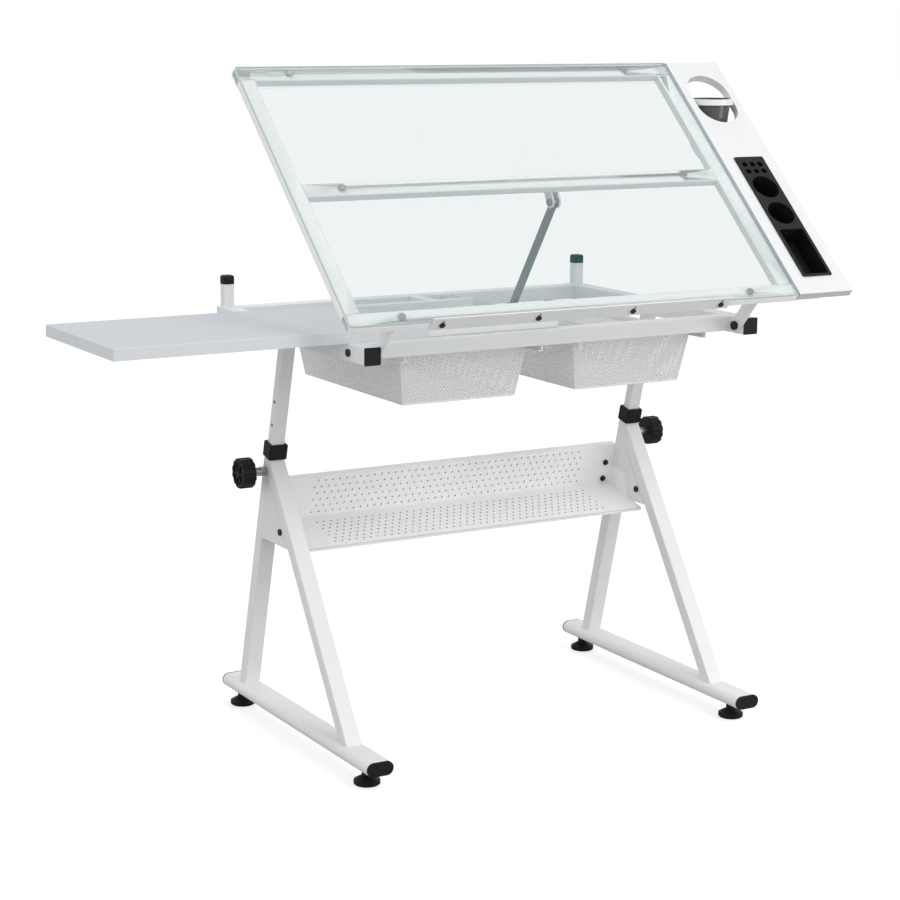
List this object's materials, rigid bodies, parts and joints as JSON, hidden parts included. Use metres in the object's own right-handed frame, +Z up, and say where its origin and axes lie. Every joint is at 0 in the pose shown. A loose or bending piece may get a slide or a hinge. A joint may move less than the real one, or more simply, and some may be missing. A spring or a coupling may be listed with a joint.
{
  "type": "drafting table",
  "caption": "Drafting table: tilting glass top with a pencil ledge, side shelf, side panel with organizer and cup, two basket drawers, on a height-adjustable leaning steel stand.",
  "frame": {"origin": "on the floor under the middle of the whole table's box", "axes": "+X to the user's right along the table's length, -Y towards the user, +Z up"},
  "size_m": [1.38, 0.6488, 1.1949],
  "materials": {
    "white_steel": "white powder coat, satin with a fine texture",
    "shelf_steel": "white powder-coated perforated sheet, satin",
    "side_board": "pale blue-white coated sheet, satin",
    "white_board": "white coated panel, satin",
    "mesh_steel": "white coated fine steel mesh",
    "black_plastic": "moulded black, fine grain",
    "organizer_black": "moulded black, fine grain",
    "black_steel": "black oxide",
    "zinc": "zinc plated",
    "glass": "clear float glass with a pale green tint, polished edges",
    "smoked_plastic": "smoked grey moulding, glossy",
    "white_plastic": "moulded white, semi-gloss"
  },
  "bodies": {
    "base": {"foot_rail_left": "white_steel", "foot_rail_right": "white_steel", "foot_rail_caps": "black_plastic", "leg_sleeve_left": "white_steel", "leg_sleeve_right": "white_steel", "leg_brace_left": "white_steel", "leg_brace_right": "white_steel", "gusset_left": "white_steel", "gusset_right": "white_steel", "leg_collar_left": "black_plastic", "leg_collar_right": "black_plastic", "knob_nuts": "zinc", "perforated_shelf": "shelf_steel", "base_bolts": "black_steel"},
    "glide_front_left": {"glide_front_left": "black_plastic"},
    "glide_front_right": {"glide_front_right": "black_plastic"},
    "glide_rear_left": {"glide_rear_left": "black_plastic"},
    "glide_rear_right": {"glide_rear_right": "black_plastic"},
    "knob_left": {"knob_stud_left": "zinc", "clamp_knob_left": "black_plastic"},
    "knob_right": {"knob_stud_right": "zinc", "clamp_knob_right": "black_plastic"},
    "rack": {"side_rail_left": "white_steel", "side_rail_right": "white_steel", "rail_plugs": "black_plastic", "rest_post_left": "white_steel", "rest_post_right": "white_steel", "rest_pads": "black_plastic", "inner_leg_left": "white_steel", "inner_leg_right": "white_steel", "rail_bolts": "black_steel", "front_crossbar": "white_steel", "rear_crossbar": "white_steel", "centre_beam": "white_steel", "stay_track": "white_steel", "side_board": "side_board", "board_front_arm": "white_steel", "board_rear_arm": "white_steel", "basket_runners_left": "white_steel", "basket_runners_right": "white_steel"},
    "top": {"glass_top": "glass", "glass_screws": "zinc", "frame_front": "white_steel", "frame_rear": "white_steel", "frame_middle": "white_steel", "frame_left": "white_steel", "frame_right": "white_steel", "hinge_straps": "white_steel", "stay_bracket": "white_steel", "stay_pin": "zinc", "side_panel": "white_board", "panel_brackets": "white_steel", "ledge_bolts": "black_steel"},
    "ledge": {"ledge": "white_steel"},
    "organizer": {"organizer": "organizer_black"},
    "cup": {"cup_ring": "white_plastic", "cup_body": "smoked_plastic"},
    "stay": {"stay": "zinc"},
    "drawer_left": {"basket_left": "mesh_steel"},
    "drawer_right": {"basket_right": "mesh_steel"}
  },
  "joints": [
    {"name": "height_slide", "type": "slide", "parent": "base", "child": "rack", "axis": [0, -0.2588, 0.9659], "range_m": [-0.135, 0.09]},
    {"name": "tilt", "type": "hinge", "parent": "rack", "child": "top", "pos_m": [0.118, -0.24515, 0.738], "axis": [1, 0, 0], "range_deg": [-42.5, 17.5]},
    {"name": "stay_swing", "type": "hinge", "parent": "top", "child": "stay", "pos_m": [0.19, -0.09288, 0.9589], "axis": [1, 0, 0], "range_deg": [-35, 85]},
    {"name": "cup_swing", "type": "hinge", "parent": "top", "child": "cup", "pos_m": [0.63, 0.04699, 1.12302], "axis": [1, 0, 0], "range_deg": [-17.5, 42.5]},
    {"name": "ledge_slide", "type": "slide", "parent": "top", "child": "ledge", "axis": [0, 0.6756, -0.7373], "range_m": [0, 0.008]},
    {"name": "organizer_lift", "type": "slide", "parent": "top", "child": "organizer", "axis": [0, -0.6756, 0.7373], "range_m": [0, 0.06]},
    {"name": "drawer_left_slide", "type": "slide", "parent": "rack", "child": "drawer_left", "axis": [0, -1, 0], "range_m": [0, 0.25]},
    {"name": "drawer_right_slide", "type": "slide", "parent": "rack", "child": "drawer_right", "axis": [0, -1, 0], "range_m": [0, 0.25]},
    {"name": "knob_left_turn", "type": "hinge", "parent": "base", "child": "knob_left", "pos_m": [-0.265, 0.12022, 0.47913], "axis": [-1, 0, 0], "continuous": true},
    {"name": "glide_front_left_turn", "type": "hinge", "parent": "base", "child": "glide_front_left", "pos_m": [-0.265, -0.24215, 0.01], "axis": [0, 0, 1], "continuous": true},
    {"name": "glide_rear_left_turn", "type": "hinge", "parent": "base", "child": "glide_rear_left", "pos_m": [-0.265, 0.26685, 0.01], "axis": [0, 0, 1], "continuous": true},
    {"name": "knob_right_turn", "type": "hinge", "parent": "base", "child": "knob_right", "pos_m": [0.501, 0.12022, 0.47913], "axis": [1, 0, 0], "continuous": true},
    {"name": "glide_front_right_turn", "type": "hinge", "parent": "base", "child": "glide_front_right", "pos_m": [0.501, -0.24215, 0.01], "axis": [0, 0, 1], "continuous": true},
    {"name": "glide_rear_right_turn", "type": "hinge", "parent": "base", "child": "glide_rear_right", "pos_m": [0.501, 0.26685, 0.01], "axis": [0, 0, 1], "continuous": true}
  ],
  "couplings": [
    {"joint": "stay_swing", "follows": "tilt", "ratio": -2},
    {"joint": "cup_swing", "follows": "tilt", "ratio": -1}
  ]
}
